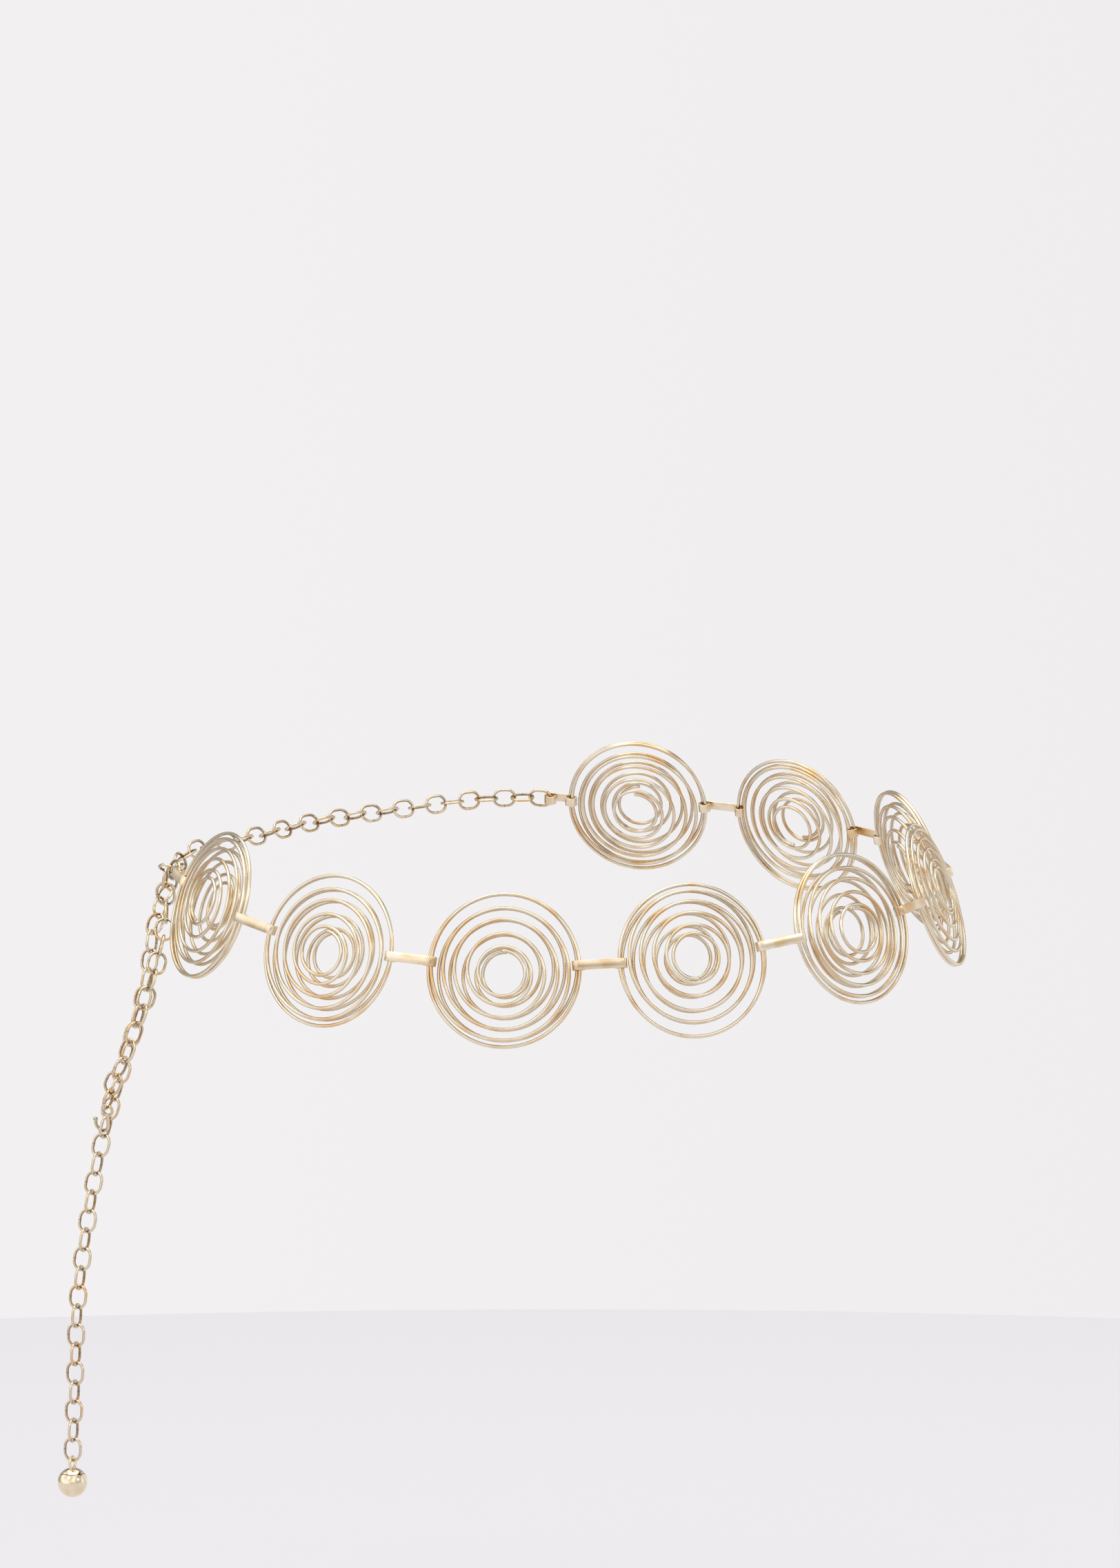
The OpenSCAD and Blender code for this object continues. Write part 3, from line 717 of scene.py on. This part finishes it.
class WAISTCHAIN_OT_discs(bpy.types.Operator):
    """Wind the nine discs, each from one wire"""

    bl_idname = "waist_chain.discs"
    bl_label = "Wire discs"

    def execute(self, context):
        s, c = sizes(), colours()
        # Drawn brass wire, plated: bright lines along the wire, a little soft from the winding
        # The inner side of each turn of wire gets painted shade
        material = plated_brass("drawn_brass_wire_plated", c.wire, c.wire_warm, 0.2, WIRE_GRAIN, inner_shade=0.2)
        discs = disc_frames(s)
        one = tube(wire_path(s), s.disc_wire_d / 2, UP)
        for i in range(len(DISC_SAG)):
            normal, start = discs["normal"][i], discs["start"][i]
            verts = place(one[0], discs["centre"][i], start, np.cross(normal, start), normal)
            add_piece("wound_disc_%d" % (i + 1), (verts, *one[1:]), "disc_%d" % (i + 1),
                      material)
        return {"FINISHED"}


class WAISTCHAIN_OT_strips(bpy.types.Operator):
    """Curl the strips that join the discs, and the two end strips"""

    bl_idname = "waist_chain.strips"
    bl_label = "Strip links"

    def execute(self, context):
        s, c = sizes(), colours()
        # Rolled brass strip, plated: flat satin faces with lines along them
        material = plated_brass("rolled_brass_strip_plated", c.strip, c.wire_warm, 0.26, STRIP_GRAIN)
        discs = disc_frames(s)
        ahead, behind = curl_centres(s, discs, 1), curl_centres(s, discs, -1)
        normal = discs["normal"]
        for i in range(len(DISC_SAG) - 1):
            parts = strip_parts(s, ahead[i], behind[i + 1], normal[i] + normal[i + 1])
            add_piece("curled_strip_%d" % (i + 1), parts, "strip_%d" % (i + 1), material)
        short = strip_parts(s, behind[0], behind[0] + s.end_strip * discs["behind"][0], normal[0])
        add_piece("curled_end_strip_short", short, "end_strip_short", material)
        long = strip_parts(s, ahead[-1], ahead[-1] + s.end_strip * discs["ahead"][-1], normal[-1])
        add_piece("curled_end_strip_long", long, "end_strip_long", material)
        return {"FINISHED"}


class WAISTCHAIN_OT_chains(bpy.types.Operator):
    """Link the short chain and the long chain"""

    bl_idname = "waist_chain.chains"
    bl_label = "Oval-link chains"

    def execute(self, context):
        s, c = sizes(), colours()
        # Drawn brass chain wire, plated: a harder shine, and a fine dark seam where each link closes
        frames = chain_frames(s, disc_frames(s))
        r, side = link_sizes(s, s.chain_pitch)
        # The inner side of each link gets painted shade, darker than on the discs
        material = plated_brass("drawn_brass_chain_wire_plated", c.chain, c.wire_warm, 0.1, CHAIN_GRAIN,
                                inner_shade=0.7, seams=[(math.pi * r + side / 2, SEAM_HALF)])
        for name in ("long", "short"):
            add_piece("oval_links_" + name, link_parts(s, *frames[name]), name + "_chain",
                      material)
        return {"FINISHED"}


class WAISTCHAIN_OT_hook(bpy.types.Operator):
    """Bend the hook that closes the loop"""

    bl_idname = "waist_chain.hook"
    bl_label = "Hook"

    def execute(self, context):
        s, c = sizes(), colours()
        # Bent brass wire, plated: bright lines along the bend
        # The inner side of the hook's wire gets painted shade
        material = plated_brass("bent_brass_wire_plated", c.chain, c.wire_warm, 0.14, WIRE_GRAIN, inner_shade=0.4)
        frames = chain_frames(s, disc_frames(s))
        verts, *rest = hook_parts(s)
        add_piece("bent_hook", (place(verts, *frames["hook"]), *rest), "hook", material)
        return {"FINISHED"}


class WAISTCHAIN_OT_ball(bpy.types.Operator):
    """Turn the end ball with its loop"""

    bl_idname = "waist_chain.ball"
    bl_label = "End ball"

    def execute(self, context):
        s, c = sizes(), colours()
        # Turned brass ball, plated and polished: near mirror, with fine lines round it and one turned groove
        material = plated_brass("turned_brass_ball_plated", c.ball, c.wire_warm, 0.07, BALL_GRAIN,
                                seams=[(GROOVE_AT * s.ball_d, GROOVE_HALF)])
        frames = chain_frames(s, disc_frames(s))
        verts, *rest = ball_parts(s)
        add_piece("end_ball", (place(verts, *frames["ball"]), *rest), "ball", material)
        return {"FINISHED"}


def aim(thing, at):
    """Turns an object so that it looks at a point."""
    thing.rotation_mode = "QUATERNION"
    thing.rotation_quaternion = (Vector(at) - thing.location).to_track_quat("-Z", "Y")


def soft_light(name, location, side, radiance, tint):
    """A square softbox that looks at the origin. Its power is pi times its area times its radiance, the
    brightness at which the metal mirrors it."""
    data = bpy.data.lights.new(name, "AREA")
    data.shape = "SQUARE"
    data.size = side
    data.energy = math.pi * side * side * radiance
    data.color = tint
    light = bpy.data.objects.new(name, data)
    bpy.context.scene.collection.objects.link(light)
    light.location = location
    aim(light, (0, 0, 0))


def lobe(tree, way, toward, low, high, dark, bright):
    """Colour of the room by direction: dark below low and bright above high, where low and high are shares
    of the way that lies along toward, and a smooth step between the two."""
    share = node(tree, "ShaderNodeVectorMath", {0: way, 1: toward}, operation="DOT_PRODUCT")
    step = node(tree, "ShaderNodeMapRange", {"Value": share.outputs["Value"], "From Min": low,
                                             "From Max": high}, interpolation_type="SMOOTHSTEP")
    mix = node(tree, "ShaderNodeMix", {0: step.outputs["Result"], 6: (*dark, 1), 7: (*bright, 1)},
               data_type="RGBA")
    return mix.outputs[2]


def set_floor(tone):
    """A round board of painted wood under the chain, matt, so that it mirrors nothing."""
    mesh = bpy.data.meshes.new("floor")
    verts, faces = floor_parts()
    mesh.from_pydata(verts, [], faces)
    material, tree, output = new_material("painted_board_floor")
    shader = node(tree, "ShaderNodeBsdfPrincipled", {"Base Color": (*tone, 1), "Roughness": 0.9,
                                                   "Specular IOR Level": 0.0})
    tree.links.new(shader.outputs["BSDF"], output.inputs["Surface"])
    mesh.materials.append(material)
    floor = bpy.data.objects.new("floor", mesh)
    bpy.context.scene.collection.objects.link(floor)


def set_room(left, right):
    """The room: the camera sees a plain wall that goes from the left tone to the right one, and the metal
    mirrors the sum of the pale walls."""
    world = bpy.data.worlds.new("room")
    bpy.context.scene.world = world
    world.use_nodes = True
    tree = world.node_tree
    tree.nodes.clear()
    way = node(tree, "ShaderNodeTexCoord").outputs["Generated"]
    ray = node(tree, "ShaderNodeLightPath").outputs["Is Camera Ray"]
    wall = lobe(tree, way, *BACKDROP_LOBE, left, right)
    room = lobe(tree, way, *MAIN_LOBE, ROOM_DARK, ROOM_BRIGHT)
    for toward, low, high, bright in ROOM_LOBES:
        more = lobe(tree, way, toward, low, high, (0, 0, 0), [bright * tint for tint in LOBE_TINT])
        room = node(tree, "ShaderNodeMix", {0: 1.0, 6: room, 7: more}, data_type="RGBA",
                    blend_type="ADD").outputs[2]
    seen = node(tree, "ShaderNodeMix", {0: ray, 6: room, 7: wall}, data_type="RGBA")
    back = node(tree, "ShaderNodeBackground", {"Color": seen.outputs[2], "Strength": 1.0})
    node(tree, "ShaderNodeOutputWorld", {"Surface": back.outputs["Background"]})


def set_camera():
    """A long lens in front of the chain that looks a little down on it."""
    data = bpy.data.cameras.new("camera")
    data.sensor_fit = "AUTO"
    data.sensor_width = SENSOR
    data.lens = FOCAL_LENGTH / PICTURE_HEIGHT * SENSOR
    data.clip_end = 50
    camera = bpy.data.objects.new("camera", data)
    bpy.context.scene.collection.objects.link(camera)
    down = math.radians(CAMERA_TILT)
    forward = Vector((0, math.cos(down), -math.sin(down)))
    up = Vector((0, math.sin(down), math.cos(down)))
    camera.location = Vector((CAMERA_RIGHT, 0, 0)) + CAMERA_UP * up - CAMERA_AWAY * forward
    aim(camera, camera.location + forward)
    bpy.context.scene.camera = camera


class WAISTCHAIN_OT_stage(bpy.types.Operator):
    """Set the floor, the room's light, the softboxes and the camera"""

    bl_idname = "waist_chain.stage"
    bl_label = "Stage"

    def execute(self, context):
        c = colours()
        set_floor(c.floor)
        set_room(c.backdrop, c.backdrop_right)
        for softbox in SOFTBOXES:
            soft_light(*softbox)
        set_camera()
        context.scene.view_settings.view_transform = "Standard"
        return {"FINISHED"}


class WAISTCHAIN_PT_panel(bpy.types.Panel):
    """Lists the steps that build the waist chain"""

    bl_idname = "WAISTCHAIN_PT_panel"
    bl_label = "Waist chain"
    bl_space_type = "VIEW_3D"
    bl_region_type = "UI"
    bl_category = "Waist chain"

    def draw(self, context):
        for operator in OPERATORS:
            self.layout.operator(operator.bl_idname)
        for group in (sizes(), colours()):
            box = self.layout.box()
            for name in group.bl_rna.properties.keys():
                if name not in ("rna_type", "name"):
                    box.prop(group, name)


GROUPS = (WaistChainSizes, WaistChainColours)
OPERATORS = (WAISTCHAIN_OT_discs, WAISTCHAIN_OT_strips, WAISTCHAIN_OT_chains, WAISTCHAIN_OT_hook,
             WAISTCHAIN_OT_ball, WAISTCHAIN_OT_stage)
CLASSES = GROUPS + OPERATORS + (WAISTCHAIN_PT_panel,)


def register():
    for kind in CLASSES:
        bpy.utils.register_class(kind)
    bpy.types.Scene.waist_chain_sizes = PointerProperty(type=WaistChainSizes)
    bpy.types.Scene.waist_chain_colours = PointerProperty(type=WaistChainColours)


def unregister():
    del bpy.types.Scene.waist_chain_colours
    del bpy.types.Scene.waist_chain_sizes
    for kind in reversed(CLASSES):
        bpy.utils.unregister_class(kind)


def main():
    """Registers the classes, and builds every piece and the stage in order."""
    register()
    bpy.ops.waist_chain.discs()
    bpy.ops.waist_chain.strips()
    bpy.ops.waist_chain.chains()
    bpy.ops.waist_chain.hook()
    bpy.ops.waist_chain.ball()
    bpy.ops.waist_chain.stage()


if __name__ == "__main__":
    main()
